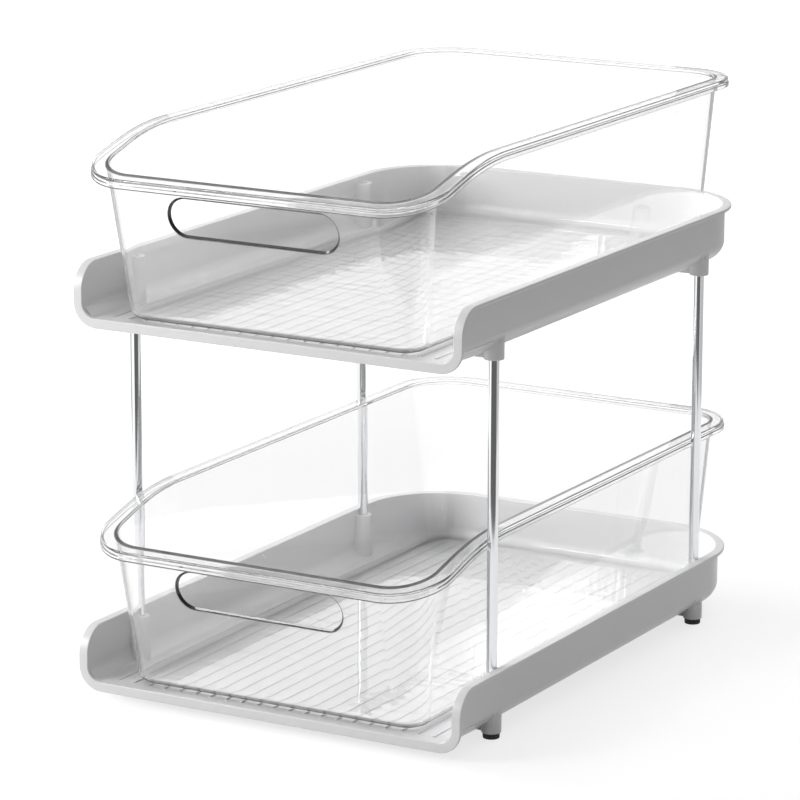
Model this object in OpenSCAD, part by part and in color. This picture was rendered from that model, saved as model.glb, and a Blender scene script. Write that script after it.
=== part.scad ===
// Two-tier under sink organizer: two moulded trays on four plated posts,
// each tray carrying a clear bin that slides out towards the front.
// Millimetres. X runs across, +Y to the rear, +Z up. Z is 0 at the floor under the pads.

/* [Tray] */
// Width of a tray over its rim
tray_w = 270; // [240:1:320]
// Depth of a tray from its front lip to its rear rim
tray_d = 410; // [360:1:480]
// Height of the rim above the undersides of the tray's bosses
tray_h = 40.2; // [32:0.1:60]
// Height of the floor's underside above the undersides of the bosses
floor_raise = 5.3; // [3:0.1:9]
// Thickness of the moulded floor and walls
skin_t = 2; // [1.6:0.1:3]
// How far the rim, the front edge bands and the front lip stand proud of the skin
rim_over = 4.2; // [2.5:0.1:6]
// Thickness of the rim, the front edge bands and the front lip
rim_t = 2.2; // [1.5:0.1:3]
// Radius of the rim's two rear corners, seen from above
corner_r = 62; // [45:1:80]
// Outer radius where the walls turn into the floor
turn_r = 11; // [7:0.5:14]
// Radius of the side walls' upper front corners, seen from the side
front_r = 17.5; // [8:0.5:24]

/* [Floor ribs] */
// Spacing of the ribs on a tray's floor
rib_pitch = 11.2; // [8:0.1:20]
// Width of a floor rib
rib_w = 1.2; // [0.8:0.1:3]
// Height of a floor rib
rib_h = 0.5; // [0.3:0.1:1.5]
// Distance from the tray's front edge to the ribs' front ends
rib_front = 9; // [5:1:30]
// Distance from the floor's rounded edge to the ribs' rear ends
rib_rear = 4; // [2:1:30]

/* [Posts] */
// Diameter of a post
post_d = 6.5; // [5:0.1:8]
// Distance from a tray's side edge in to the middle of a post
post_side = 8.8; // [8.4:0.1:10]
// Distance from the tray's front edge to the front posts
post_front = 55; // [35:1:90]
// Distance from the tray's rear edge to the rear posts
post_rear = 76.6; // [70:0.1:110]
// Height from one tray to the next
tier_pitch = 230.8; // [180:0.1:320]

/* [Sockets] */
// Outer diameter of a boss and of the socket column above it
socket_d = 12.4; // [11:0.1:14]
// Radial clearance between a post or a pad's stem and its socket
socket_gap = 0.05; // [0.02:0.01:0.1]
// Height from the top of a socket column up to the rim
column_drop = 3.8; // [2.5:0.1:10]
// Depth of the socket that opens at the underside of a boss
socket_low = 10.4; // [6:0.1:11]
// Thickness left between the upper and the lower socket of a corner
socket_mid = 2.8; // [1.5:0.1:6]
// Length of the stiffening web that runs inwards from a boss
web_len = 45; // [20:1:80]
// Length of the web that is as deep as the boss
web_deep = 20; // [10:1:20]
// Thickness of that web
web_t = 2; // [1.2:0.1:3]

/* [Pads] */
// Diameter of a pad under the lower tray
pad_d = 10.7; // [8:0.1:12]
// Height of a pad
pad_h = 3.6; // [2:0.1:8]
// Gap between the end of a pad's stem and the bottom of its socket
stem_end = 2.4; // [0.5:0.1:3]

/* [Bin] */
// Gap between a bin's rim and a post
bin_play = 1.45; // [0.6:0.05:8]
// Depth of a bin over its rim
bin_d = 436; // [400:1:440]
// Height of a bin's rim at the rear
bin_rear_h = 112.4; // [90:0.1:140]
// Height of a bin's rim at the front
bin_front_h = 91.4; // [70:0.1:105]
// Angle at which the rim climbs from the front, in degrees
bin_climb = 15.3; // [10:0.1:30]
// Radius that blends the climbing rim into the level rim
bin_blend_r = 200; // [60:5:300]
// Wall and floor thickness of a bin
bin_t = 2.2; // [1.8:0.1:3]
// Width of the rim outside the wall
bin_rim = 8; // [5:0.1:10]
// Thickness of the rim
bin_rim_t = 2; // [1.5:0.1:3]
// Height of the rim's turned-down edge
bin_lip = 5.6; // [3:0.1:10]
// Thickness of the turned-down edge
bin_lip_t = 2; // [1.5:0.1:3]
// Height of the bead along the bottom of the turned-down edge
bin_bead_h = 2.5; // [1:0.1:2.9]
// How far the bead stands proud of the turned-down edge
bin_bead = 0.6; // [0.2:0.1:1]
// Radius of the rim's front corners, seen from above
bin_front_r = 34.5; // [26:0.5:50]
// Radius of the rim's rear corners, seen from above
bin_rear_r = 39; // [26:0.5:50]
// Radius of the outside corners at the bottom of a bin
bin_foot_r = 16; // [12:0.5:30]
// Radius where the bin's walls turn into its floor
bin_turn_r = 7; // [4:0.5:10]
// Lean of the side and rear walls, in degrees
bin_draft = 5.8; // [2:0.1:8]
// Lean of the front wall, in degrees
bin_front_draft = 11.3; // [5:0.1:14]
// Length of the hand slot in the front wall
slot_w = 117; // [80:1:140]
// Height of the hand slot
slot_h = 24.4; // [18:0.1:30]
// Distance from the bin's rim at the front down to the middle of the hand slot
slot_drop = 21; // [18:0.1:40]

/* [Places] */
// Gap between a bin's underside and the ribs that it slides on
bin_gap = 0.3; // [0.2:0.1:1]
// Distance from the middle of the organizer's depth back to the middle of the trays
tray_back = 8; // [0:0.1:14]
// How far the lower bin stands back, and the upper bin forward, of the middle
bin_stagger = 2; // [0:0.1:4]

/* [Hidden] */
$fn = 96;
far = 1000;
tray_grey = [0.72, 0.72, 0.73];
post_silver = [0.80, 0.81, 0.83];
pad_black = [0.08, 0.08, 0.08];
bin_clear = [0.86, 0.92, 0.95, 0.35];

lower_z = pad_h;
upper_z = lower_z + tier_pitch;
tray_front_y = tray_back - tray_d / 2;
tray_rear_y = tray_back + tray_d / 2;
post_x = tray_w / 2 - post_side;
post_front_y = tray_front_y + post_front;
post_rear_y = tray_rear_y - post_rear;
corner_x = tray_w / 2 - corner_r;
corner_y = tray_rear_y - corner_r;
wall_r = corner_r - rim_over;
floor_top = floor_raise + skin_t;
socket_r = post_d / 2 + socket_gap;
socket_base = socket_low + socket_mid;
boss_h = floor_raise + turn_r / 2;
boss_taper = 6;
rib_count = floor((tray_w / 2 - rim_over - turn_r - rib_rear) / rib_pitch);
bin_w = 2 * (post_x - post_d / 2 - bin_play);
bin_z = floor_top + rib_h + bin_gap;
break_y = (bin_rear_h - bin_front_h) / tan(bin_climb) - bin_d / 2;

// The section of the filled tray from a corner's centre outwards, drawn in by inset
module tray_section(inset) {
    turn = turn_r - inset;
    reach = wall_r - inset;
    base = floor_raise + inset;
    translate([0, base])
        square([reach - turn, tray_h - base]);
    translate([0, base + turn])
        square([reach, tray_h - base - turn]);
    translate([reach - turn, base + turn])
        circle(turn);
}

// The tray's outside as a filled form, drawn in by inset, open to the front
module tray_form(inset) {
    run = corner_y - tray_front_y;
    translate([-corner_x, tray_front_y, floor_raise + inset])
        cube([2 * corner_x, tray_d - corner_r, tray_h - floor_raise - inset]);
    for (side = [-1, 1])
        translate([side * corner_x, corner_y, 0])
            mirror([side < 0 ? 1 : 0, 0, 0]) {
                rotate_extrude(angle = 90)
                    tray_section(inset);
                rotate([90, 0, 0])
                    linear_extrude(run)
                        tray_section(inset);
            }
    translate([-corner_x, corner_y, 0])
        rotate([90, 0, 90])
            linear_extrude(2 * corner_x)
                tray_section(inset);
}

// Everything behind the tray's front edge, seen from the side and drawn in by inset
module behind_front(inset) {
    turn = front_r - inset;
    translate([-far / 2, 0, 0])
        rotate([90, 0, 90])
            linear_extrude(far) {
                translate([tray_front_y + inset, -far])
                    square([far, far + tray_h - inset - turn]);
                translate([tray_front_y + inset + turn, -far])
                    square([far, far + tray_h - inset]);
                translate([tray_front_y + inset + turn, tray_h - inset - turn])
                    circle(turn);
            }
}

// Rim along the sides and the rear, which turns down the front ends and along the lip
module tray_rim() {
    difference() {
        intersection() {
            tray_form(-rim_over);
            behind_front(0);
        }
        behind_front(rim_t);
        tray_form(skin_t);
    }
}

// Y of the flat floor's rear end at a distance x from the middle
function floor_end(x) =
    let (r = wall_r - turn_r - rib_rear, over = max(0, abs(x) - corner_x))
    corner_y + sqrt(max(0, r * r - over * over));

module floor_ribs() {
    for (i = [-rib_count : rib_count]) {
        x = i * rib_pitch;
        start = tray_front_y + rib_front;
        translate([x - rib_w / 2, start, floor_top - skin_t / 2])
            cube([rib_w, floor_end(x) - start, rib_h + skin_t / 2]);
    }
}

// Places its children at the four posts
module at_posts() {
    for (side = [-1, 1], y = [post_front_y, post_rear_y])
        translate([side * post_x, y, 0])
            mirror([side > 0 ? 1 : 0, 0, 0])
                children();
}

// Column inside the tray, boss under it and the web that braces the boss
module socket_body() {
    cylinder(d = socket_d, h = boss_h);
    translate([0, 0, boss_h])
        cylinder(d1 = socket_d, d2 = post_d, h = boss_taper);
    translate([0, web_t / 2, 0])
        rotate([90, 0, 0])
            linear_extrude(web_t)
                polygon([[0, 0], [0, floor_raise + skin_t / 2], [web_len, floor_raise + skin_t / 2],
                         [web_len, floor_raise], [web_deep, 0]]);
}

module tray() {
    difference() {
        union() {
            difference() {
                intersection() {
                    tray_form(0);
                    behind_front(0);
                }
                tray_form(skin_t);
            }
            tray_rim();
            floor_ribs();
            at_posts() socket_body();
            intersection() {
                tray_form(0);
                at_posts()
                    translate([0, 0, floor_raise])
                        cylinder(d = socket_d, h = tray_h - column_drop - floor_raise);
            }
        }
        at_posts() {
            translate([0, 0, socket_base])
                cylinder(r = socket_r, h = tray_h - socket_base + 1);
            translate([0, 0, -1])
                cylinder(r = socket_r, h = socket_low + 1);
        }
    }
}

// A tube that stands in the lower tray's upper socket and carries the upper tray's boss
module post(side, y) {
    base = lower_z + socket_base;
    translate([side * post_x, y, base])
        color(post_silver)
            cylinder(d = post_d, h = upper_z + socket_low - base);
}

module foot(side, y) {
    translate([side * post_x, y, 0])
        color(pad_black) {
            cylinder(d = pad_d, h = pad_h);
            cylinder(d = post_d, h = pad_h + socket_low - stem_end);
        }
}

// Outline of the bin's rim from above, drawn in by inset
module rim_plan(inset) {
    w = bin_w - 2 * inset;
    d = bin_d - 2 * inset;
    front = bin_front_r - inset;
    rear = bin_rear_r - inset;
    translate([-w / 2, front - d / 2])
        square([w, d - front - rear]);
    translate([front - w / 2, -d / 2])
        square([w - 2 * front, front]);
    translate([rear - w / 2, d / 2 - rear])
        square([w - 2 * rear, rear]);
    for (side = [-1, 1]) {
        translate([side * (w / 2 - front), front - d / 2])
            circle(front);
        translate([side * (w / 2 - rear), d / 2 - rear])
            circle(rear);
    }
}

// Everything under the bin's rim line, seen from the side and lowered by drop
module under_rim(drop) {
    reach = bin_blend_r * tan(bin_climb / 2);
    top = bin_rear_h - drop;
    translate([-far / 2, 0, 0])
        rotate([90, 0, 90])
            linear_extrude(far)
                difference() {
                    translate([-far / 2, -far])
                        square([far, far + top]);
                    translate([break_y, top])
                        rotate(bin_climb)
                            translate([-far, 0])
                                square([far, far]);
                    difference() {
                        polygon([[break_y + reach, top], [break_y, top + 1],
                                 [break_y - reach * cos(bin_climb) - sin(bin_climb),
                                  top - reach * sin(bin_climb) + cos(bin_climb)],
                                 [break_y - reach * cos(bin_climb), top - reach * sin(bin_climb)]]);
                        translate([break_y + reach, top - bin_blend_r])
                            circle(bin_blend_r, $fn = 720);
                    }
                }
}

// Where a wall's outer face stands at height z
function side_x(z) = bin_w / 2 - bin_rim - tan(bin_draft) * (bin_rear_h - z);
function rear_y(z) = bin_d / 2 - bin_rim - tan(bin_draft) * (bin_rear_h - z);
function front_y(z) = bin_rim - bin_d / 2 + tan(bin_front_draft) * (bin_front_h - z);
function front_corner(z) = bin_foot_r + (bin_front_r - bin_rim - bin_foot_r) * z / bin_front_h;
function rear_corner(z) = bin_foot_r + (bin_rear_r - bin_rim - bin_foot_r) * z / bin_rear_h;

// Four corner discs of the bin's form at height z, drawn in by inset
module corner_discs(z, inset) {
    front = front_corner(z) - inset;
    rear = rear_corner(z) - inset;
    x = side_x(z) - inset;
    for (side = [-1, 1]) {
        translate([side * (x - front), front_y(z) + inset + front, z])
            cylinder(r = front, h = 0.01, $fn = 48);
        translate([side * (x - rear), rear_y(z) - inset - rear, z])
            cylinder(r = rear, h = 0.01, $fn = 48);
    }
}

// The bin's drafted body as a filled form, drawn in by inset and reaching up to top
module bin_form(inset, top) {
    turn = bin_turn_r - inset;
    hull() {
        for (a = [0 : 22.5 : 90])
            corner_discs(inset + turn * (1 - cos(a)), inset + turn * (1 - sin(a)));
        corner_discs(top, inset);
    }
}

module hand_slot() {
    z = bin_front_h - slot_drop;
    translate([0, front_y(z) + bin_rim, z])
        rotate([90, 0, 0])
            linear_extrude(2 * bin_rim) {
                square([slot_w - slot_h, slot_h], center = true);
                for (side = [-1, 1])
                    translate([side * (slot_w - slot_h) / 2, 0])
                        circle(d = slot_h);
            }
}

// The band between two drops below the rim line
module rim_band(top, bottom) {
    difference() {
        under_rim(top);
        under_rim(bottom);
    }
}

// Rim flange with its turned-down edge and the bead along it, all following the rim line
module bin_rim_solid() {
    intersection() {
        rim_band(0, bin_rim_t);
        linear_extrude(bin_rear_h)
            rim_plan(bin_bead);
    }
    intersection() {
        rim_band(0, bin_lip);
        linear_extrude(bin_rear_h)
            difference() {
                rim_plan(bin_bead);
                rim_plan(bin_lip_t);
            }
    }
    intersection() {
        rim_band(bin_lip - bin_bead_h, bin_lip);
        linear_extrude(bin_rear_h)
            difference() {
                rim_plan(0);
                rim_plan(bin_lip_t);
            }
    }
}

module bin() {
    difference() {
        union() {
            intersection() {
                bin_form(0, bin_rear_h);
                under_rim(0);
            }
            bin_rim_solid();
        }
        bin_form(bin_t, bin_rear_h + bin_t);
        hand_slot();
    }
}

module lower_tray() {
    color(tray_grey) translate([0, 0, lower_z]) tray();
}

module upper_tray() {
    color(tray_grey) translate([0, 0, upper_z]) tray();
}

module lower_bin() {
    color(bin_clear) translate([0, bin_stagger, lower_z + bin_z]) bin();
}

module upper_bin() {
    color(bin_clear) translate([0, -bin_stagger, upper_z + bin_z]) bin();
}

lower_tray();
upper_tray();
post(-1, post_front_y);  // post_front_left
post(1, post_front_y);  // post_front_right
post(-1, post_rear_y);  // post_rear_left
post(1, post_rear_y);  // post_rear_right
foot(-1, post_front_y);  // foot_front_left
foot(1, post_front_y);  // foot_front_right
foot(-1, post_rear_y);  // foot_rear_left
foot(1, post_rear_y);  // foot_rear_right
lower_bin();
upper_bin();
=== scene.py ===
# Looks of a two-tier under sink organizer: satin moulded trays, plated posts, rubber pads
# and two clear bins that slide out over the trays. Metres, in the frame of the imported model.

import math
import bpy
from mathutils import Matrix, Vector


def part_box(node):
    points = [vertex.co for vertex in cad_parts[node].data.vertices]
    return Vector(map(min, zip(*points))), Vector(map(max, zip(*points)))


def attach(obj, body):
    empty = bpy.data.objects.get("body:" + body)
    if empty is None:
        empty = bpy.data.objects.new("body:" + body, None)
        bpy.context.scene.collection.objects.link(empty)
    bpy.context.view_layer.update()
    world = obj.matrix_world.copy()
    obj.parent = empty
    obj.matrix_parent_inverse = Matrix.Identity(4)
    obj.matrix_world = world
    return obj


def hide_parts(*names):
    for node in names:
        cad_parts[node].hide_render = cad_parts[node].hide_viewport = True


bl_info = {
    "name": "Under Sink Organizer",
    "version": (1, 0, 0),
    "blender": (4, 5, 0),
    "location": "View3D > Sidebar > Organizer",
    "description": "Models the trays, posts, pads and clear bins of an under sink organizer",
    "category": "Add Mesh",
}

import bmesh
import bpy
from bpy.props import FloatProperty, IntProperty, PointerProperty, StringProperty
from mathutils import Matrix, Vector

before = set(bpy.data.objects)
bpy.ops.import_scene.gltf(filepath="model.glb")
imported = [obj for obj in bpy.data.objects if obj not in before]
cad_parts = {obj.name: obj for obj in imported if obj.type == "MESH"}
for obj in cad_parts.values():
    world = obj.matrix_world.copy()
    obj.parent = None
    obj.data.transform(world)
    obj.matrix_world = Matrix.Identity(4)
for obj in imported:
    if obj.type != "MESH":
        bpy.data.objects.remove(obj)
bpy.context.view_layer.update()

MM = 0.001
WELD = 0.00002
SHARP = math.radians(32)
X, Y, Z = Vector((1, 0, 0)), Vector((0, 1, 0)), Vector((0, 0, 1))
CORNERS = [(side, end) for end in ("front", "rear") for side in ("left", "right")]


def length(name, description, default, low=0.0001, high=1.0):
    return FloatProperty(
        name=name, description=description, default=default, min=low, max=high,
        precision=5, unit="LENGTH", subtype="DISTANCE")


def angle(name, description, degrees):
    return FloatProperty(
        name=name, description=description, default=math.radians(degrees),
        unit="ROTATION", subtype="ANGLE")


def colour(name, description, default):
    return StringProperty(name=name, description=description, default=default, maxlen=7)


class TraySizes(bpy.types.PropertyGroup):
    floor_raise: length("Floor raise", "Height of the floor's underside over the bosses", 0.0053)
    skin: length("Skin", "Thickness of the moulded floor and walls", 0.002)
    rim_over: length("Rim overhang", "How far the rim stands proud of the skin", 0.0042)
    rim_thick: length("Rim thickness", "Thickness of the rim and of the front edge", 0.0022)
    rim_round: length("Rim rounding", "Radius along the rim's upper edges", 0.0006)
    fillet: length("Rim fillet", "Radius where the rim meets the outside of the wall", 0.001)
    corner: length("Corner radius", "Radius of the rear corners over the rim", 0.062)
    turn: length("Turn radius", "Outer radius where the walls turn into the floor", 0.011)
    front: length("Front corner radius", "Radius of the walls' upper front corners", 0.0175)
    rib_pitch: length("Rib pitch", "Spacing of the floor ribs", 0.0112)
    rib_width: length("Rib width", "Width of a floor rib", 0.0012)
    rib_height: length("Rib height", "Height of a floor rib", 0.0005)
    rib_front: length("Rib start", "Distance from the front edge to the ribs", 0.009)
    rib_margin: length("Rib margin", "Bare floor between the ribs and the inner turn", 0.004)
    column_drop: length("Column drop", "Depth of a socket column's top below the rim", 0.0038)
    flat_rise: length("Turn flat rise", "How far the flat at the inner turn stands off it", 0.0008)
    flat_run: length("Turn flat length", "Length over which that flat runs out", 0.036)
    web_length: length("Web length", "Length of the web that braces a boss", 0.045)
    web_deep: length("Web depth run", "Length of the web that is as deep as the boss", 0.02)
    web_thick: length("Web thickness", "Thickness of the web", 0.002)


class SocketSizes(bpy.types.PropertyGroup):
    boss_d: length("Boss diameter", "Outer diameter of a boss and a socket column", 0.0124)
    root_d: length("Column root", "Diameter of a socket column at the floor", 0.0134)
    bore_gap: length("Bore clearance", "Radial clearance round a post", 0.00005)
    low: length("Lower socket", "Depth of the socket under a boss", 0.0104)
    mid: length("Socket web", "Thickness between the upper and the lower socket", 0.0028)
    edge: length("Edge rounding", "Radius along the ends of bosses and columns", 0.0004)


class PostSizes(bpy.types.PropertyGroup):
    chamfer: length("Post chamfer", "Chamfer at a post's ends", 0.0004)
    pad_edge: length("Pad rounding", "Radius along a pad's lower edge", 0.0005)
    pad_taper: length("Pad taper", "How much narrower a pad is at its foot", 0.0002)


class BinSizes(bpy.types.PropertyGroup):
    front_height: length("Front height", "Height of the rim at the front", 0.0914)
    climb: angle("Climb", "Angle at which the rim climbs from the front", 15.3)
    blend: length("Blend radius", "Radius between the climbing and the level rim", 0.2)
    wall: length("Wall", "Thickness of walls and floor", 0.0022)
    rim: length("Rim", "Width of the rim outside the wall", 0.008)
    rim_thick: length("Rim thickness", "Thickness of the rim", 0.002)
    lip: length("Lip", "Height of the rim's turned-down edge", 0.0056)
    lip_thick: length("Lip thickness", "Thickness of the turned-down edge", 0.002)
    bead_height: length("Bead height", "Height of the bead along the lip", 0.0025)
    bead: length("Bead", "How far the bead stands proud", 0.0006)
    front_corner: length("Front corner", "Radius of the rim's front corners", 0.0345)
    rear_corner: length("Rear corner", "Radius of the rim's rear corners", 0.039)
    foot_corner: length("Foot corner", "Radius of the corners at the bottom", 0.016)
    turn: length("Turn radius", "Outer radius where walls turn into the floor", 0.007)
    draft: angle("Draft", "Lean of the side and rear walls", 5.8)
    front_draft: angle("Front draft", "Lean of the front wall", 11.3)
    slot_width: length("Slot width", "Length of the hand slot", 0.117)
    slot_height: length("Slot height", "Height of the hand slot", 0.0244)
    slot_drop: length("Slot drop", "Depth of the slot's middle below the front rim", 0.021)
    slot_flare: length("Slot flare", "How much tighter the slot is inside the wall", 0.0009)
    edge: length("Edge rounding", "Radius along the bin's edges", 0.0007)


class Finishes(bpy.types.PropertyGroup):
    tray: colour("Tray", "Colour of the moulded trays", "#D6D6D7")
    clear: colour("Clear bins", "Tint of the clear bins", "#FFFFFF")
    # Painted shade: the slot edge colour is a grey tint on the slot's rounded cut faces, which draws a dark
    # line round the hand slot
    slot_edge: colour("Slot edge", "Edge of the hand slot, which leads light away", "#8A8A8A")
    chrome: colour("Posts", "Colour of the plated posts", "#E4E5E7")
    rubber: colour("Pads", "Colour of the rubber pads", "#161616")


class StageSettings(bpy.types.PropertyGroup):
    azimuth: angle("Azimuth", "How far the camera stands to the right of the front", 29.6006)
    elevation: angle("Elevation", "How far the camera looks down", 13.6398)
    roll: angle("Roll", "Turn of the picture about the line of sight", 0.1395)
    lens: FloatProperty(name="Lens", description="Focal length in millimetres", default=189.43)
    distance: length("Distance", "From the camera to the organizer", 2.67805, 0.5, 10)
    aim_x: length("Aim X", "Point that the camera looks at", -0.01234, -1)
    aim_y: length("Aim Y", "Point that the camera looks at", -0.010391, -1)
    aim_z: length("Aim Z", "Point that the camera looks at", 0.164886, -1)
    floor: colour("Floor", "Colour that the floor throws back on the organizer", "#E2E2E2")
    floor_shade: colour("Floor shade", "Part of the floor's colour that takes a shadow", "#969696")
    floor_glow: FloatProperty(name="Floor glow", description="White added to the floor", default=0.74)
    ambient: FloatProperty(name="Ambient", description="Light from all round", default=0.34)
    sheet_glow: FloatProperty(name="Sheet glow", description="White added where the bins' floors mirror it",
                              default=0.2)


class PanelSettings(bpy.types.PropertyGroup):
    arc_steps: IntProperty(name="Arc steps", description="Segments in a quarter turn",
                           default=24, min=4, max=64)


# Mesh helpers

def new_object(name, bm, material, smooth_angle=SHARP):
    """Turns a bmesh into a piece with weighted normals and soft shading."""
    bmesh.ops.remove_doubles(bm, verts=bm.verts, dist=WELD)
    bmesh.ops.recalc_face_normals(bm, faces=bm.faces)
    for edge in bm.edges:
        edge.smooth = edge.calc_face_angle(0.0) < smooth_angle
    for face in bm.faces:
        face.smooth = True
    mesh = bpy.data.meshes.new(name)
    bm.to_mesh(mesh)
    bm.free()
    made = bpy.data.objects.new(name, mesh)
    bpy.context.scene.collection.objects.link(made)
    mesh.materials.append(material)
    weighted = made.modifiers.new("Even normals", "WEIGHTED_NORMAL")
    weighted.keep_sharp = True
    return made


def sweep(bm, columns, rows, place):
    """Maps a grid onto a surface: place gives the point for one column and one row."""
    grid = bmesh.ops.create_grid(
        bm, x_segments=len(columns) - 1, y_segments=len(rows) - 1, size=1.0)
    for index, vert in enumerate(grid["verts"]):
        row, column = divmod(index, len(columns))
        vert.co = place(columns[column], rows[row])
    return grid["verts"]


def arc(centre, radius, start, end, steps):
    """Points of an arc in a section, with its angles in degrees."""
    angles = [math.radians(start + (end - start) * i / steps) for i in range(steps + 1)]
    return [(centre[0] + radius * math.cos(a), centre[1] + radius * math.sin(a)) for a in angles]


def revolve(bm, profile, centre, segments=48):
    """Spins a profile of (radius, height) points once round an upright axis."""
    verts = [bm.verts.new((centre[0] + r, centre[1], centre[2] + z)) for r, z in profile]
    edges = [bm.edges.new(pair) for pair in zip(verts, verts[1:])]
    bmesh.ops.spin(
        bm, geom=verts + edges, cent=centre, axis=Z, angle=math.tau, steps=segments,
        use_merge=True)


def mirror_half(bm):
    """Adds the mirror image across the middle plane and joins the two."""
    bmesh.ops.mirror(bm, geom=bm.verts[:] + bm.edges[:] + bm.faces[:], matrix=Matrix.Identity(4),
                     merge_dist=WELD, axis="X")
    bmesh.ops.remove_doubles(bm, verts=bm.verts, dist=WELD)


def add_part(bm, part):
    """Moves a finished bmesh into another one as a part of the same moulding."""
    bmesh.ops.recalc_face_normals(part, faces=part.faces)
    mesh = bpy.data.meshes.new("part")
    part.to_mesh(mesh)
    part.free()
    bm.from_mesh(mesh)
    bpy.data.meshes.remove(mesh)


# The edge of a tray is one path: along the lip, round the lower turn, up the front,
# over the front corner, back along the side and round the rear corner.

def run(path, vector, stops=(1.0,)):
    last = path[-1]
    path += [Matrix.Translation(vector * stop) @ last for stop in stops]


def turn(path, centre, axis, degrees, steps):
    last = path[-1]
    there, back = Matrix.Translation(centre), Matrix.Translation(-centre)
    for i in range(1, steps + 1):
        spin = Matrix.Rotation(math.radians(degrees * i / steps), 4, axis)
        path.append(there @ spin @ back @ last)


class TrayPlan:
    """Places shared by the parts of a tray, from its CAD box and its sizes."""

    def __init__(self, node, sizes, sockets, post):
        low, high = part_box(node)
        self.base, self.top = low.z, high.z
        self.front, self.rear = low.y, high.y
        self.half = high.x
        self.height = self.top - self.base
        self.corner_x = self.half - sizes.corner
        self.corner_y = self.rear - sizes.corner
        self.wall = sizes.corner - sizes.rim_over
        self.floor = sizes.floor_raise + sizes.skin
        self.turn_in = sizes.turn - sizes.skin
        self.turn_x = self.corner_x + self.wall - sizes.turn
        self.turn_z = sizes.floor_raise + sizes.turn
        self.inner_x = self.corner_x + self.wall - sizes.skin
        self.column_top = self.height - sizes.column_drop
        self.bore = post["radius"] + sockets.bore_gap
        self.posts = post["places"]


def post_facts():
    """Radius of a post and the places of all four, from the CAD nodes."""
    places = {}
    for side, end in CORNERS:
        low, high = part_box(f"post_{end}_{side}")
        places[side, end] = (low + high) / 2
    return {"radius": (high.x - low.x) / 2, "places": places}


def edge_path(plan, sizes, steps):
    """Frames along the tray's edge: X of a frame points out of the skin, Y to the free edge."""
    start = Matrix.Translation((0, plan.front, plan.floor)) @ Matrix((
        (0, 0, -1, 0), (0, -1, 0, 0), (-1, 0, 0, 0), (0, 0, 0, 1)))
    path = [start]
    run(path, X * plan.turn_x)
    turn(path, Vector((plan.turn_x, 0, plan.turn_z)), "Y", -90, steps)
    rise = plan.height - sizes.front - plan.turn_z
    run(path, Z * rise)
    turn(path, Vector((0, plan.front + sizes.front, plan.height - sizes.front)), "X", -90, steps)
    side_start = len(path) - 1
    reach = plan.corner_y - plan.front - sizes.front
    stops = [1.0]
    for side, end in CORNERS:
        if side == "right":
            middle = plan.posts[side, end].y - plan.front - sizes.front
            offsets = [plan.bore * math.sin(math.radians(a)) for a in (-38, -26, -13, 0, 13, 26, 38)]
            stops += [(middle + offset) / reach for offset in offsets]
    run(path, Y * reach, sorted(stops))
    turn(path, Vector((plan.corner_x, plan.corner_y, 0)), "Z", 90, 2 * steps)
    run(path, -X * plan.corner_x)
    return path, side_start


def rim_section(sizes):
    """Rounded section of the edge, from the skin's inner face over the edge to its outer face."""
    r, over, thick = sizes.rim_round, sizes.skin + sizes.rim_over, sizes.rim_thick
    deep = thick + sizes.fillet
    lower = 0.8 * r
    points = [(0, -deep)]
    points += arc((r, -r), r, 180, 90, 5)
    points += arc((over - r, -r), r, 90, 0, 5)
    points += arc((over - lower, lower - thick), lower, 0, -90, 3)
    points += arc((sizes.skin + sizes.fillet, -deep), sizes.fillet, 90, 180, 4)
    return points


def tray_shell(plan, sizes, steps):
    """The skin and the edge of one tray, a closed shell with its front open."""
    bm = bmesh.new()
    path, side_start = edge_path(plan, sizes, steps)
    place = lambda station, point: station @ Vector((*point, 0))
    edge = rim_section(sizes)
    sweep(bm, path, edge, place)
    deep = edge[0][1]
    turn_start = plan.turn_z - plan.height
    centre = (-plan.turn_in, turn_start)
    inner = arc(centre, plan.turn_in, 0, -90, steps)
    outer = arc(centre, sizes.turn, 0, -90, steps)
    for skin, row in ((0, inner), (sizes.skin, outer)):
        sweep(bm, path[side_start:], [(skin, deep)] + row, place)
        side = path[side_start]
        back = sizes.front + deep
        near = [Matrix.Translation(-Y * back) @ side, side]
        sweep(bm, near, row, place)
    notch_rim(bm, plan)
    mirror_half(bm)
    bmesh.ops.holes_fill(bm, edges=bm.edges, sides=0)
    bmesh.ops.recalc_face_normals(bm, faces=bm.faces)
    return bm


def notch_rim(bm, plan):
    """The posts' sockets cut a shallow notch into the inner edge of the rim."""
    for (side, end), centre in plan.posts.items():
        if side != "right":
            continue
        for vert in bm.verts:
            away = vert.co.y - centre.y
            if abs(away) < plan.bore and vert.co.z > plan.column_top:
                edge = centre.x + math.sqrt(plan.bore ** 2 - away ** 2)
                if centre.x < vert.co.x < edge:
                    vert.co.x = edge


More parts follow.
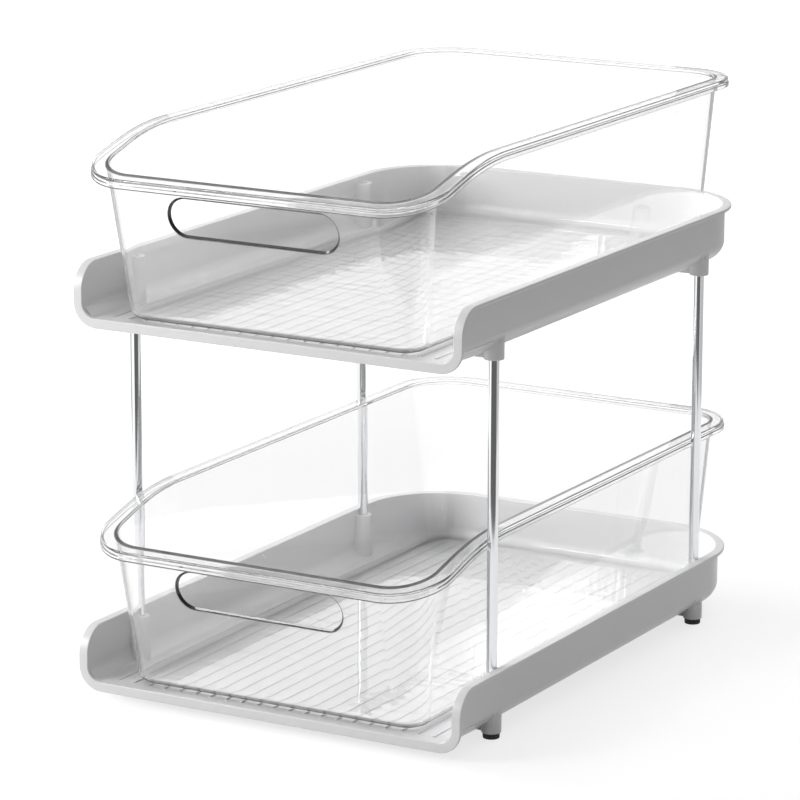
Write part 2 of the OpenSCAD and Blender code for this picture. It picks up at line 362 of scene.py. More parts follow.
def raise_ribs(bm, plan, sizes):
    """Raises the ribs out of the flat floor, behind a bare strip along the front edge."""
    floor = max((f for f in bm.faces if f.normal.z > 0.99), key=lambda f: f.calc_area())
    inner = bmesh.ops.inset_region(bm, faces=[floor], thickness=sizes.rib_margin)
    flat = floor
    start = plan.front + sizes.rib_front
    count = int((plan.turn_x - sizes.rib_margin) / sizes.rib_pitch)
    cuts = [(Vector((0, start, 0)), Y)]
    for i in range(-count, count + 1):
        for half in (-0.5, 0.5):
            cuts.append((X * (i * sizes.rib_pitch + half * sizes.rib_width), X))
    faces = [flat]
    for point, normal in cuts:
        geom = faces + list({e for f in faces for e in f.edges} | {v for f in faces for v in f.verts})
        cut = bmesh.ops.bisect_plane(bm, geom=geom, dist=WELD / 10, plane_co=point, plane_no=normal)
        faces = [g for g in cut["geom"] if isinstance(g, bmesh.types.BMFace)]
    ribs = []
    for face in faces:
        middle = face.calc_center_bounds()
        place = middle.x / sizes.rib_pitch
        if middle.y > start and abs(place - round(place)) * sizes.rib_pitch < sizes.rib_width / 2:
            ribs.append(face)
    for face in ribs:
        raised = bmesh.ops.extrude_discrete_faces(bm, faces=[face])["faces"][0]
        bmesh.ops.translate(bm, verts=raised.verts, vec=Z * sizes.rib_height)
        bmesh.ops.inset_individual(bm, faces=[raised], thickness=0.0)


def socket_parts(bm, plan, sizes, sockets):
    """Boss, socket column and web at each post."""
    radius, root = sockets.boss_d / 2, sockets.root_d / 2
    edge, bore = sockets.edge, plan.bore
    web_top = sockets.low + sockets.mid
    boss_top = sizes.floor_raise + sizes.turn / 2
    boss = [(0, sockets.low), (bore, sockets.low), (bore, 0)]
    boss += arc((radius - edge, edge), edge, -90, 0, 3)
    boss += [(radius, boss_top), (bore + edge, boss_top + radius - bore), (bore + edge, web_top),
             (0, web_top)]
    foot = sizes.floor_raise + sizes.skin / 2
    column = [(bore + edge, foot), (root, foot)]
    column += arc((radius - edge, plan.column_top - edge), edge, 0, 90, 3)
    column += [(bore, plan.column_top), (bore, web_top), (bore + edge, web_top), (bore + edge, foot)]
    for (side, end), centre in plan.posts.items():
        sign = 1 if side == "right" else -1
        at = Vector((centre.x, centre.y, 0))
        part = bmesh.new()
        revolve(part, column, at)
        bmesh.ops.remove_doubles(part, verts=part.verts, dist=WELD)
        limit = Vector((sign * (plan.inner_x + sizes.skin - 0.2 * MM), 0, 0))
        bmesh.ops.bisect_plane(
            part, geom=part.verts[:] + part.edges[:] + part.faces[:], dist=WELD,
            plane_co=limit, plane_no=X * sign, clear_outer=True)
        bmesh.ops.holes_fill(part, edges=part.edges, sides=0)
        add_part(bm, part)
        part = bmesh.new()
        revolve(part, boss, at)
        bmesh.ops.remove_doubles(part, verts=part.verts, dist=WELD)
        add_part(bm, part)
        add_part(bm, web(at, -sign, sizes))


def web(at, sign, sizes):
    """Upright web that runs from a boss towards the middle of the tray."""
    part = bmesh.new()
    top = sizes.floor_raise + sizes.skin / 2
    outline = [(4 * MM, 0.1 * MM), (sizes.web_deep, 0.1 * MM), (sizes.web_length, sizes.floor_raise),
               (sizes.web_length, top), (4 * MM, top)]
    verts = [part.verts.new(at + Vector((sign * x, -sizes.web_thick / 2, z))) for x, z in outline]
    face = part.faces.new(verts)
    body = bmesh.ops.extrude_face_region(part, geom=[face])["geom"]
    bmesh.ops.translate(part, verts=[v for v in body if isinstance(v, bmesh.types.BMVert)],
                        vec=Y * sizes.web_thick)
    bmesh.ops.bevel(part, geom=part.edges[:], offset=0.25 * MM, segments=2, profile=0.5,
                    affect="EDGES", material=-1)
    return part


def turn_flats(bm, plan, sizes):
    """Slim flats that cut across the inner turn behind the front edge and run out rearwards."""
    for sign in (-1, 1):
        part = bmesh.new()
        slab = bmesh.ops.create_cube(part, size=1.0)["verts"]
        thick, wide, long = 1.4 * MM, 11 * MM, sizes.flat_run * 1.2
        bmesh.ops.scale(part, verts=slab, vec=(wide, long, thick))
        bmesh.ops.translate(part, verts=slab, vec=(0, long / 2, -thick / 2))
        lean = Matrix.Rotation(-math.atan(sizes.flat_rise / sizes.flat_run), 4, "X")
        lift = Matrix.Translation((0, 0, sizes.flat_rise - plan.turn_in))
        tilt = Matrix.Rotation(math.radians(-45 * sign), 4, "Y")
        start = plan.front + sizes.rim_thick + 0.4 * MM
        move = Matrix.Translation((sign * plan.turn_x, start, plan.turn_z))
        bmesh.ops.transform(part, matrix=move @ tilt @ lift @ lean, verts=slab)
        add_part(bm, part)


def make_tray(node, material):
    scene = bpy.context.scene
    sizes, sockets = scene.organizer_tray, scene.organizer_socket
    plan = TrayPlan(node, sizes, sockets, post_facts())
    bm = tray_shell(plan, sizes, scene.organizer_mesh.arc_steps)
    raise_ribs(bm, plan, sizes)
    turn_flats(bm, plan, sizes)
    socket_parts(bm, plan, sizes, sockets)
    bmesh.ops.translate(bm, verts=bm.verts, vec=Z * plan.base)
    tray = new_object(node + "_moulding", bm, material)
    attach(tray, "root")
    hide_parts(node)
    return tray


# A bin's surface is one grid: its columns run round half the plan from the front to the
# rear, its rows follow the section from the inner floor over the rim to the outer floor.

class BinPlan:
    def __init__(self, node, sizes):
        low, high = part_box(node)
        self.sizes = sizes
        self.base = low.z
        self.middle_y = (low.y + high.y) / 2
        self.half_w = high.x
        self.half_d = (high.y - low.y) / 2
        self.height = high.z - low.z
        self.run_out = (self.height - sizes.front_height) / math.tan(sizes.climb)
        self.break_y = self.run_out - self.half_d
        self.reach = sizes.blend * math.tan(sizes.climb / 2)

    def rim_z(self, y):
        """Height of the rim line: climbing at the front, blended into level at the rear."""
        s = self.sizes
        level_from = self.break_y + self.reach
        climb_to = self.break_y - self.reach * math.cos(s.climb)
        if y >= level_from:
            return self.height
        if y <= climb_to:
            return s.front_height + (y + self.half_d) * math.tan(s.climb)
        return self.height - s.blend + math.sqrt(s.blend ** 2 - (y - level_from) ** 2)

    def outline(self, column, half, front, rear, front_r, rear_r):
        kind, value = column
        if kind == "front":
            return Vector((value, front, 0))
        if kind == "side":
            return Vector((half, value, 0))
        if kind == "rear":
            return Vector((value, rear, 0))
        r = front_r if kind == "front corner" else rear_r
        middle = front + r if kind == "front corner" else rear - r
        return Vector((half - r + r * math.cos(value), middle + r * math.sin(value), 0))

    def wall_point(self, column, inset, z):
        """A point of the drafted wall, drawn in by inset, at height z."""
        s = self.sizes
        side = tan_down(s.draft, self.height - z)
        half = self.half_w - s.rim - side - inset
        rear = self.half_d - s.rim - side - inset
        front = s.rim - self.half_d + tan_down(s.front_draft, s.front_height - z) + inset
        front_r = s.foot_corner + (s.front_corner - s.rim - s.foot_corner) * z / s.front_height
        rear_r = s.foot_corner + (s.rear_corner - s.rim - s.foot_corner) * z / self.height
        point = self.outline(column, half, front, rear, front_r - inset, rear_r - inset)
        point.z = z
        return point

    def place(self, column, row):
        kind, inset, value = row
        if kind == "wall":
            return self.wall_point(column, inset, value)
        if kind == "top":
            z = self.height
            for _ in range(12):
                point = self.wall_point(column, inset, z)
                z = self.rim_z(point.y) - value
            point.z = z
            return point
        s = self.sizes
        half, depth = self.half_w - inset, self.half_d - inset
        point = self.outline(column, half, -depth, depth, s.front_corner - inset,
                             s.rear_corner - inset)
        point.z = self.rim_z(point.y) - value
        return point


def tan_down(lean, drop):
    return math.tan(lean) * drop


def bin_columns(plan, steps):
    """Columns of the grid: the front's half, its corner, the side, the rear corner, the rear."""
    s = plan.sizes
    slot_edge = s.slot_width / 2 + 3 * MM
    corner = [math.radians(-90 + 90 * i / steps) for i in range(steps + 1)]
    start = plan.break_y - plan.reach * math.cos(s.climb)
    end = plan.break_y + plan.reach
    side = [start + (end - start) * i / steps for i in range(steps + 1)]
    columns = [("front", 0.0), ("front", slot_edge)]
    columns += [("front corner", a) for a in corner]
    columns += [("side", y) for y in side]
    columns += [("rear corner", a + math.pi / 2) for a in corner]
    return columns + [("rear", 0.0)]


def bin_rows(plan, steps):
    """Rows of the grid, each a kind, an inset and a height or a drop below the rim line."""
    s = plan.sizes
    e = s.edge
    inner = s.turn - s.wall
    rows = [("wall", s.wall + inner * (1 - math.cos(a)), s.wall + inner * (1 - math.sin(a)))
            for a in quarter(steps)[::-1]]
    rows += [("top", s.wall - e * (1 - math.cos(a)), e * (1 - math.sin(a))) for a in quarter(4)]
    rows += [("rim", s.bead + e * (1 - math.sin(a)), e * (1 - math.cos(a))) for a in quarter(4)]
    step = s.lip - s.bead_height
    half = s.bead / 2
    rows += [("rim", s.bead, step - half), ("rim", half, step), ("rim", 0.0, step + half)]
    low = s.lip - half
    rows += [("rim", half * (1 - math.cos(a)), low + half * math.sin(a)) for a in quarter(3)]
    rows += [("rim", s.lip_thick - half * (1 - math.cos(a)), low + half * math.sin(a))
             for a in quarter(3)[::-1]]
    rows += [("rim", s.lip_thick + e * (1 - math.cos(a)), s.rim_thick + e * (1 - math.sin(a)))
             for a in quarter(4)]
    rows += [("top", -e * (1 - math.sin(a)), s.rim_thick + e * (1 - math.cos(a)))
             for a in quarter(4)]
    rows += [("wall", s.turn * (1 - math.cos(a)), s.turn * (1 - math.sin(a)))
             for a in quarter(steps)]
    return rows


def quarter(steps):
    return [math.pi / 2 * i / steps for i in range(steps + 1)]


def hand_slot(bm, plan, steps):
    """Cuts the hand slot through the flat front wall, rounds both of its edges and gives the cut faces the
    second material, whose grey tint paints shade along the slot.
    """
    s = plan.sizes
    limit = s.slot_width / 2 + 3 * MM + WELD
    doomed = []
    for face in bm.faces:
        middle = face.calc_center_bounds()
        spans = abs(middle.x) < limit and max(v.co.z for v in face.verts) - min(
            v.co.z for v in face.verts) > s.slot_height
        if middle.y < 0 and spans:
            doomed.append(face)
    bmesh.ops.delete(bm, geom=doomed, context="FACES_ONLY")
    radius = s.slot_height / 2
    straight = s.slot_width / 2 - radius
    middle_z = s.front_height - s.slot_drop
    columns = []
    for start in (-90, 90):
        sign = 1 if start < 0 else -1
        for i in range(2 * steps + 1):
            a = math.radians(start + 180 * i / (2 * steps))
            columns.append((sign * straight, a))
    columns.append(columns[0])
    e = s.edge
    wall = s.wall
    flare = s.slot_flare
    rows = [(e * (1 - math.sin(a)), e * (1 - math.cos(a))) for a in quarter(4)]
    rows += [(e * (1 - math.cos(a)) - flare, wall - e * (1 - math.sin(a))) for a in quarter(4)]

    rise = math.sin(2 * s.front_draft) / 2

    def place(column, row):
        grow, deep = row
        x = column[0] + (radius + grow) * math.cos(column[1])
        z = middle_z + (radius + grow) * math.sin(column[1]) + deep * rise
        y = s.rim - plan.half_d + tan_down(s.front_draft, s.front_height - z) + deep
        return Vector((x, y, z))

    walls = set(bm.faces)
    sweep(bm, columns, rows, place)
    # The slot's rounded cut faces take the second material: painted shade from its grey tint
    for face in bm.faces:
        if face not in walls:
            face.material_index = 1
    bmesh.ops.remove_doubles(bm, verts=bm.verts, dist=WELD)
    normal = Vector((0, -math.cos(s.front_draft), -math.sin(s.front_draft)))
    for deep in (0.0, wall):
        loops = []
        for edge in bm.edges:
            if edge.is_boundary:
                middle = (edge.verts[0].co + edge.verts[1].co) / 2
                y = s.rim - plan.half_d + tan_down(s.front_draft, s.front_height - middle.z) + deep
                if abs(middle.y - y) < wall / 4:
                    loops.append(edge)
        bmesh.ops.triangle_fill(bm, use_beauty=True, edges=loops, normal=normal)


def make_bin(node, body, material, slot_edge):
    scene = bpy.context.scene
    steps = scene.organizer_mesh.arc_steps
    plan = BinPlan(node, scene.organizer_bin)
    bm = bmesh.new()
    sweep(bm, bin_columns(plan, steps), bin_rows(plan, steps // 2), plan.place)
    bmesh.ops.remove_doubles(bm, verts=bm.verts, dist=WELD)
    mirror_half(bm)
    bmesh.ops.holes_fill(bm, edges=bm.edges, sides=0)
    hand_slot(bm, plan, steps)
    bmesh.ops.translate(bm, verts=bm.verts, vec=Vector((0, plan.middle_y, plan.base)))
    made = new_object(node + "_shell", bm, material)
    # Second material: the grey tint that paints shade along the hand slot
    made.data.materials.append(slot_edge)
    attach(made, body)
    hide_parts(node)
    return made


def make_post(side, end, material):
    """A plated tube with a small chamfer at each end."""
    node = f"post_{end}_{side}"
    low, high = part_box(node)
    chamfer = bpy.context.scene.organizer_post.chamfer
    radius, tall = (high.x - low.x) / 2, high.z - low.z
    bm = bmesh.new()
    profile = [(0, 0), (radius - chamfer, 0), (radius, chamfer), (radius, tall - chamfer),
               (radius - chamfer, tall), (0, tall)]
    revolve(bm, profile, Vector(((low.x + high.x) / 2, (low.y + high.y) / 2, low.z)), 96)
    post = new_object(node + "_tube", bm, material)
    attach(post, "root")
    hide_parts(node)


def make_pad(side, end, material):
    """A rubber pad with a rounded foot, on the stem that plugs into its socket."""
    node = f"foot_{end}_{side}"
    scene = bpy.context.scene
    sizes = scene.organizer_post
    low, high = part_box(node)
    radius, tall = (high.x - low.x) / 2, high.z - low.z
    stem = post_facts()["radius"]
    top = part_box("lower_tray")[0].z
    round_r, foot = sizes.pad_edge, radius - sizes.pad_taper
    bm = bmesh.new()
    profile = [(0, 0), (foot - round_r, 0)] + arc((foot - round_r, round_r), round_r, -90, 0, 4)
    profile += [(radius, top), (stem, top), (stem, tall), (0, tall)]
    revolve(bm, profile, Vector(((low.x + high.x) / 2, (low.y + high.y) / 2, 0)))
    pad = new_object(node + "_pad", bm, material)
    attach(pad, "root")
    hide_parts(node)


# Materials

def linear(hex_colour):
    """An sRGB hex colour as linear light."""
    parts = [int(hex_colour[i:i + 2], 16) / 255 for i in (1, 3, 5)]
    return tuple(c / 12.92 if c <= 0.04045 else ((c + 0.055) / 1.055) ** 2.4 for c in parts) + (1.0,)


def add_node(tree, kind, inputs=(), **settings):
    """Adds a shader node with its settings, and sets or links its inputs."""
    made = tree.nodes.new("ShaderNode" + kind)
    for name, value in settings.items():
        setattr(made, name, value)
    for name, value in dict(inputs).items():
        if isinstance(value, bpy.types.NodeSocket):
            tree.links.new(value, made.inputs[name])
        else:
            made.inputs[name].default_value = value
    return made


def new_material(name):
    material = bpy.data.materials.new(name)
    material.use_nodes = True
    material.node_tree.nodes.clear()
    return material, material.node_tree


def satin_polypropylene(hex_colour):
    """Injection-moulded polypropylene: a faint grain gives it a satin, even sheen."""
    material, tree = new_material("satin moulded polypropylene")
    place = add_node(tree, "TexCoord").outputs["Object"]
    # The mould's grain is about 0.1 mm, drawn at 0.7 mm so that it shows at all
    grain = add_node(tree, "TexNoise", {"Vector": place, "Scale": 1 / (0.7 * MM), "Detail": 2.0})
    cloud = add_node(tree, "TexNoise", {"Vector": place, "Scale": 1 / (60 * MM), "Detail": 2.0})
    base = linear(hex_colour)
    darker = tuple(c * 0.97 for c in base[:3]) + (1.0,)
    tint = add_node(tree, "Mix", {"Factor": cloud.outputs["Fac"], "A": base, "B": darker},
                    data_type="RGBA")
    sheen = add_node(tree, "MapRange", {"Value": cloud.outputs["Fac"], "To Min": 0.28,
                                        "To Max": 0.34})
    bump = add_node(tree, "Bump", {"Height": grain.outputs["Fac"], "Strength": 0.03,
                                   "Distance": 0.1 * MM})
    shader = add_node(tree, "BsdfPrincipled", {
        "Base Color": tint.outputs["Result"], "Roughness": sheen.outputs["Result"],
        "Normal": bump.outputs["Normal"], "IOR": 1.49})
    add_node(tree, "OutputMaterial", {"Surface": shader.outputs["BSDF"]})
    return material


def clear_styrene_with_painted_shade(name, hex_colour):
    """Clear moulded styrene: highly polished, with a dense refraction that draws dark edges, and painted
    shade that darkens its lower edges.
    """
    material, tree = new_material(name)
    place = add_node(tree, "TexCoord").outputs["Object"]
    # Sink marks and flow lines of the moulding: waves of about 30 mm that differ between
    # the outer and the inner face, so that the thickness varies and bends what lies behind
    spread = add_node(tree, "Mapping", {"Vector": place, "Scale": (1.4, 3.5, 0.7)})
    flow = add_node(tree, "TexNoise", {"Vector": spread.outputs["Vector"], "Scale": 1 / (30 * MM),
                                       "Detail": 0.0})
    bump = add_node(tree, "Bump", {"Height": flow.outputs["Fac"], "Strength": 0.07,
                                   "Distance": 1.0 * MM})
    shader = add_node(tree, "BsdfPrincipled", {
        "Base Color": linear(hex_colour), "Roughness": 0.0, "IOR": 1.57,
        "Transmission Weight": 0.97, "Normal": bump.outputs["Normal"]})
    # Painted shade: faces that look steeply down, but not straight down like a floor's underside, get a
    # nearly black base colour, so the rounded lower edges draw a dark line
    faces = add_node(tree, "SeparateXYZ", {0: add_node(tree, "NewGeometry").outputs["Normal"]})
    wall = add_node(tree, "MapRange", {"Value": faces.outputs["Z"], "From Min": -0.8,
                                       "From Max": -0.5, "To Min": 0.03, "To Max": 1.0})
    base = add_node(tree, "MapRange", {"Value": faces.outputs["Z"], "From Min": -0.985,
                                       "From Max": -0.96, "To Min": 1.0, "To Max": 0.03})
    shade = add_node(tree, "Math", {0: wall.outputs["Result"], 1: base.outputs["Result"]},
                     operation="MAXIMUM")
    # Painted shade in the base colour: the tint is scaled down on those faces
    tint = add_node(tree, "VectorMath", {0: linear(hex_colour)[:3],
                                         "Scale": shade.outputs[0]}, operation="SCALE")
    tree.links.new(tint.outputs["Vector"], shader.inputs["Base Color"])
    # Light that runs along inside a wall or a rim fades, which greys the edges
    smoke = add_node(tree, "VolumeAbsorption", {"Color": (0, 0, 0, 1), "Density": 2.5})
    open_to_lamps = add_node(tree, "BsdfTransparent", {"Color": (0.95, 0.95, 0.95, 1.0)})
    path = add_node(tree, "LightPath")
    mixed = add_node(tree, "MixShader", {
        "Fac": path.outputs["Is Shadow Ray"], 1: shader.outputs["BSDF"],
        2: open_to_lamps.outputs["BSDF"]})
    add_node(tree, "OutputMaterial", {"Surface": mixed.outputs["Shader"],
                                      "Volume": smoke.outputs["Volume"]})
    return material


def bright_chrome(hex_colour):
    """Chrome plate on drawn steel tube: mirror bright, with faint drawing lines along it."""
    material, tree = new_material("bright chrome plate")
    place = add_node(tree, "TexCoord").outputs["Object"]
    fine = add_node(tree, "Mapping", {"Vector": place, "Scale": (1 / MM, 1 / MM, 0.02 / MM)})
    lines = add_node(tree, "TexNoise", {"Vector": fine.outputs["Vector"], "Scale": 1.0})
    rough = add_node(tree, "MapRange", {"Value": lines.outputs["Fac"], "To Min": 0.06,
                                        "To Max": 0.12})
    shader = add_node(tree, "BsdfPrincipled", {
        "Base Color": linear(hex_colour), "Metallic": 1.0, "Roughness": rough.outputs["Result"]})
    add_node(tree, "OutputMaterial", {"Surface": shader.outputs["BSDF"]})
    return material


def moulded_rubber(hex_colour):
    """Moulded black rubber: matt, with a fine dry grain."""
    material, tree = new_material("moulded rubber")
    place = add_node(tree, "TexCoord").outputs["Object"]
    grain = add_node(tree, "TexNoise", {"Vector": place, "Scale": 1 / (0.5 * MM)})
    bump = add_node(tree, "Bump", {"Height": grain.outputs["Fac"], "Strength": 0.2,
                                   "Distance": 0.05 * MM})
    rough = add_node(tree, "MapRange", {"Value": grain.outputs["Fac"], "To Min": 0.6,
                                        "To Max": 0.8})
    shader = add_node(tree, "BsdfPrincipled", {
        "Base Color": linear(hex_colour), "Roughness": rough.outputs["Result"],
        "Normal": bump.outputs["Normal"]})
    add_node(tree, "OutputMaterial", {"Surface": shader.outputs["BSDF"]})
    return material


# Stage

def seen_ray(tree):
    """1 for what is seen directly, in metal and through the bins, and 0 once light scatters."""
    path = add_node(tree, "LightPath").outputs
    seen = path["Is Camera Ray"]
    for other in ("Is Glossy Ray", "Is Transmission Ray"):
        seen = add_node(tree, "Math", {0: seen, 1: path[other]}, operation="MAXIMUM").outputs[0]
    first = add_node(tree, "Math", {0: path["Diffuse Depth"], 1: 0.5}, operation="LESS_THAN")
    return add_node(tree, "Math", {0: seen, 1: first.outputs[0]}, operation="MULTIPLY").outputs[0]


def backdrop_light(tree, stage, direction):
    """1 for what is seen, but dark beside the backdrop for light led inside a bin's wall or rim."""
    path = add_node(tree, "LightPath").outputs
    led = add_node(tree, "Math", {0: path["Glossy Depth"], 1: 0.5}, operation="GREATER_THAN")
    near = add_node(tree, "Math", {0: path["Transmission Depth"], 1: 5.5}, operation="LESS_THAN")
    led = add_node(tree, "Math", {0: led.outputs[0], 1: near.outputs[0]}, operation="MULTIPLY")
    led = add_node(tree, "Math", {0: led.outputs[0], 1: path["Is Transmission Ray"]},
                   operation="MULTIPLY")
    away = (-math.sin(stage.azimuth), math.cos(stage.azimuth), 0)
    across = (math.cos(stage.azimuth), math.sin(stage.azimuth), 0)
    deep = add_node(tree, "VectorMath", {0: direction, 1: away}, operation="DOT_PRODUCT")
    deep = add_node(tree, "Math", {0: deep.outputs["Value"], 1: 0.001}, operation="MAXIMUM")
    side = add_node(tree, "VectorMath", {0: direction, 1: across}, operation="DOT_PRODUCT")
    side = add_node(tree, "Math", {0: side.outputs["Value"]}, operation="ABSOLUTE")
    slope = add_node(tree, "Math", {0: side.outputs[0], 1: deep.outputs[0]}, operation="DIVIDE")
    beside = add_node(tree, "MapRange", {"Value": slope.outputs[0], "From Min": 0.22,
                                         "From Max": 0.36, "To Max": 0.9})
    lost = add_node(tree, "Math", {0: led.outputs[0], 1: beside.outputs["Result"]},
                    operation="MULTIPLY")
    return add_node(tree, "Math", {0: 1.0, 1: lost.outputs[0]}, operation="SUBTRACT").outputs[0]


def studio_world(stage):
    """White for what is seen, softer as a lamp, with a brighter sheet mirrored by the bins' floors."""
    world = bpy.data.worlds.new("studio")
    bpy.context.scene.world = world
    world.use_nodes = True
    tree = world.node_tree
    tree.nodes.clear()
    direction = add_node(tree, "TexCoord").outputs["Generated"]
    level = math.cos(stage.elevation)
    centre = (-math.sin(stage.azimuth) * level, math.cos(stage.azimuth) * level,
              math.sin(stage.elevation))
    near = add_node(tree, "VectorMath", {0: direction, 1: centre}, operation="DOT_PRODUCT")
    sheet = add_node(tree, "MapRange", {"Value": near.outputs["Value"], "From Min": 0.91,
                                        "From Max": 0.97, "To Max": stage.sheet_glow})
    bounced = add_node(tree, "Math", {0: add_node(tree, "LightPath").outputs["Glossy Depth"],
                                      1: 0.5}, operation="GREATER_THAN")
    extra = add_node(tree, "Math", {0: sheet.outputs["Result"], 1: bounced.outputs[0]},
                     operation="MULTIPLY")
    bright = add_node(tree, "Math", {0: backdrop_light(tree, stage, direction), 1: extra.outputs[0]},
                      operation="ADD")
    white = add_node(tree, "Background", {"Color": (1, 1, 1, 1), "Strength": bright.outputs[0]})
    soft = add_node(tree, "Background", {"Color": (1, 1, 1, 1), "Strength": stage.ambient})
    mixed = add_node(tree, "MixShader", {"Fac": seen_ray(tree), 1: soft.outputs["Background"],
                                         2: white.outputs["Background"]})
    add_node(tree, "OutputWorld", {"Surface": mixed.outputs["Shader"]})


def stage_object(name, bm, material):
    """Turns a bmesh into a piece of the stage."""
    mesh = bpy.data.meshes.new(name)
    bm.to_mesh(mesh)
    bm.free()
    sheet = bpy.data.objects.new(name, mesh)
    bpy.context.scene.collection.objects.link(sheet)
    mesh.materials.append(material)
    return sheet


def studio_floor(stage):
    """A pale floor that is white where it is lit and keeps the organizer's soft shadow."""
    material, tree = new_material("painted studio floor")
    place = add_node(tree, "TexCoord").outputs["Object"]
    away = add_node(tree, "VectorMath", {0: place}, operation="LENGTH").outputs["Value"]
    fade = add_node(tree, "MapRange", {"Value": away, "From Min": 0.5, "From Max": 1.6,
                                       "To Min": stage.floor_glow, "To Max": 1.0})
    matt = add_node(tree, "BsdfDiffuse", {"Color": linear(stage.floor)})
    shaded = add_node(tree, "BsdfDiffuse", {"Color": linear(stage.floor_shade)})
    bright = add_node(tree, "Math", {0: fade.outputs["Result"], 1: backdrop_light(tree, stage, place)},
                      operation="MULTIPLY")
    glow = add_node(tree, "Emission", {"Color": (1, 1, 1, 1), "Strength": bright.outputs[0]})
    both = add_node(tree, "AddShader", {0: shaded.outputs["BSDF"], 1: glow.outputs["Emission"]})
    mixed = add_node(tree, "MixShader", {"Fac": seen_ray(tree), 1: matt.outputs["BSDF"],
                                         2: both.outputs["Shader"]})
    add_node(tree, "OutputMaterial", {"Surface": mixed.outputs["Shader"]})
    bm = bmesh.new()
    bmesh.ops.create_grid(bm, x_segments=1, y_segments=1, size=8.0)
    stage_object("studio_floor", bm, material)


def studio_flag(name, stage, start, end, away, height, tone):
    """A curved card that only shows where it is mirrored: it draws the bands in the chrome."""
    material, tree = new_material(name + " cloth")
    path = add_node(tree, "LightPath").outputs
    glow = add_node(tree, "Emission", {"Color": linear(tone), "Strength": 1.0})
    clear = add_node(tree, "BsdfTransparent")
    mixed = add_node(tree, "MixShader", {"Fac": path["Is Reflection Ray"], 1: clear.outputs["BSDF"],
                                         2: glow.outputs["Emission"]})
    add_node(tree, "OutputMaterial", {"Surface": mixed.outputs["Shader"]})
    bearings = [stage.azimuth + math.radians(start + (end - start) * i / 8) for i in range(9)]
    place = lambda a, z: Vector((away * math.sin(a), -away * math.cos(a), z))
    bm = bmesh.new()
    sweep(bm, bearings, [0.0, height], place)
    flag = stage_object(name, bm, material)
    flag.visible_camera = flag.visible_diffuse = flag.visible_shadow = False


def soft_box(name, place, aim, size, power):
    """A square area lamp that faces its aim."""
    data = bpy.data.lights.new(name, "AREA")
    data.shape = "SQUARE"
    data.size = size
    data.energy = power
    lamp = bpy.data.objects.new(name, data)
    lamp.location = place
    lamp.rotation_euler = (Vector(aim) - Vector(place)).to_track_quat("-Z", "Y").to_euler()
    lamp.visible_transmission = False
    bpy.context.scene.collection.objects.link(lamp)


def studio_camera(s):
    data = bpy.data.cameras.new("camera")
    data.sensor_width = 36
    data.lens = s.lens
    data.clip_end = 50
    camera = bpy.data.objects.new("camera", data)
    turned = (Matrix.Rotation(s.azimuth, 4, "Z") @ Matrix.Rotation(math.pi / 2 - s.elevation, 4, "X")
              @ Matrix.Rotation(s.roll, 4, "Z"))
    back = turned.to_3x3() @ Z
    aim = Vector((s.aim_x, s.aim_y, s.aim_z))
    camera.matrix_world = Matrix.Translation(aim + back * s.distance) @ turned
    bpy.context.scene.collection.objects.link(camera)
    bpy.context.scene.camera = camera


# Operators and panel

class ORGANIZER_OT_trays(bpy.types.Operator):
    """Model both trays with their ribs, sockets and rolled front edges"""
    bl_idname = "organizer.trays"
    bl_label = "Trays"

    def execute(self, context):
        material = satin_polypropylene(context.scene.organizer_finish.tray)
        for node in ("lower_tray", "upper_tray"):
            make_tray(node, material)
        return {"FINISHED"}


class ORGANIZER_OT_bins(bpy.types.Operator):
    """Model both clear bins with their rims, beads and hand slots"""
    bl_idname = "organizer.bins"
    bl_label = "Bins"

    def execute(self, context):
        finish = context.scene.organizer_finish
        material = clear_styrene_with_painted_shade("clear moulded styrene with painted edge shade", finish.clear)
        # The slot edge material is the styrene with a grey tint: painted shade along the hand slot
        slot_edge = clear_styrene_with_painted_shade("styrene slot painted shade", finish.slot_edge)
        for node in ("lower_bin", "upper_bin"):
            make_bin(node, node, material, slot_edge)
        return {"FINISHED"}


class ORGANIZER_OT_posts(bpy.types.Operator):
    """Model the four plated posts"""
    bl_idname = "organizer.posts"
    bl_label = "Posts"

    def execute(self, context):
        material = bright_chrome(context.scene.organizer_finish.chrome)
        for side, end in CORNERS:
            make_post(side, end, material)
        return {"FINISHED"}


class ORGANIZER_OT_pads(bpy.types.Operator):
    """Model the four rubber pads"""
    bl_idname = "organizer.pads"
    bl_label = "Pads"

    def execute(self, context):
        material = moulded_rubber(context.scene.organizer_finish.rubber)
        for side, end in CORNERS:
            make_pad(side, end, material)
        return {"FINISHED"}


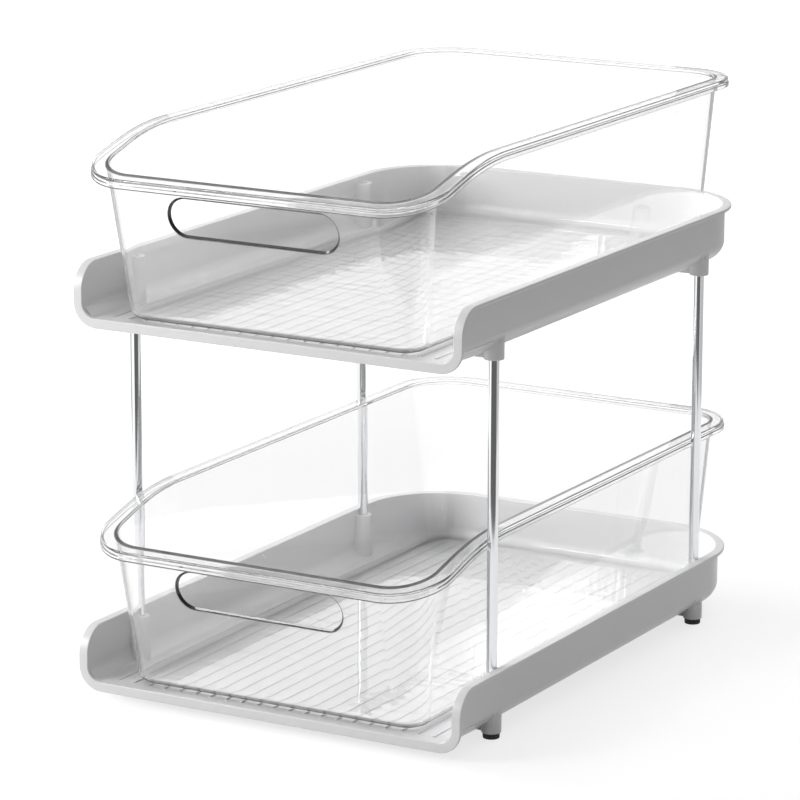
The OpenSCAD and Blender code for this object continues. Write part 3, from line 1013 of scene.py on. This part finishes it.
class ORGANIZER_OT_stage(bpy.types.Operator):
    """Set up the floor, the soft studio light and the camera"""
    bl_idname = "organizer.stage"
    bl_label = "Stage"

    def execute(self, context):
        settings = context.scene.organizer_stage
        context.scene.view_settings.view_transform = "Standard"
        studio_world(settings)
        studio_floor(settings)
        studio_flag("front_flag", settings, -41, 49, 0.65, 1.2, "#6A6A6A")
        studio_flag("right_flag", settings, 53, 165, 0.8, 1.2, "#CECECE")
        studio_flag("left_flag", settings, -165, -88, 0.8, 1.2, "#CCCCCC")
        soft_box("key", (-1.3, -1.3, 0.9), (0, 0, 0.15), 0.9, 28)
        soft_box("left", (-2.3, 0.3, 0.9), (0, 0, 0.15), 1.5, 43)
        soft_box("rear", (0, 2.0, 1.9), (0, 0, 0.15), 1.6, 23)
        studio_camera(settings)
        return {"FINISHED"}


class ORGANIZER_PT_sidebar(bpy.types.Panel):
    """Lists the organizer's pieces and sizes"""
    bl_idname = "ORGANIZER_PT_sidebar"
    bl_label = "Under Sink Organizer"
    bl_space_type = "VIEW_3D"
    bl_region_type = "UI"
    bl_category = "Organizer"

    def draw(self, context):
        for operator in STEPS:
            self.layout.operator(operator.bl_idname)
        for name in GROUPS:
            group = getattr(context.scene, name)
            box = self.layout.box()
            for prop in group.bl_rna.properties:
                if prop.identifier not in ("rna_type", "name"):
                    box.prop(group, prop.identifier)


GROUPS = {
    "organizer_tray": TraySizes, "organizer_socket": SocketSizes, "organizer_post": PostSizes,
    "organizer_bin": BinSizes, "organizer_finish": Finishes, "organizer_stage": StageSettings,
    "organizer_mesh": PanelSettings,
}
STEPS = (ORGANIZER_OT_trays, ORGANIZER_OT_bins, ORGANIZER_OT_posts, ORGANIZER_OT_pads,
         ORGANIZER_OT_stage)


def register():
    for name, group in GROUPS.items():
        bpy.utils.register_class(group)
        setattr(bpy.types.Scene, name, PointerProperty(type=group))
    for operator in STEPS:
        bpy.utils.register_class(operator)
    bpy.utils.register_class(ORGANIZER_PT_sidebar)


def unregister():
    bpy.utils.unregister_class(ORGANIZER_PT_sidebar)
    for operator in reversed(STEPS):
        bpy.utils.unregister_class(operator)
    for name, group in reversed(GROUPS.items()):
        delattr(bpy.types.Scene, name)
        bpy.utils.unregister_class(group)


def main():
    register()
    bpy.ops.organizer.trays()
    bpy.ops.organizer.bins()
    bpy.ops.organizer.posts()
    bpy.ops.organizer.pads()
    bpy.ops.organizer.stage()


if __name__ == "__main__":
    main()
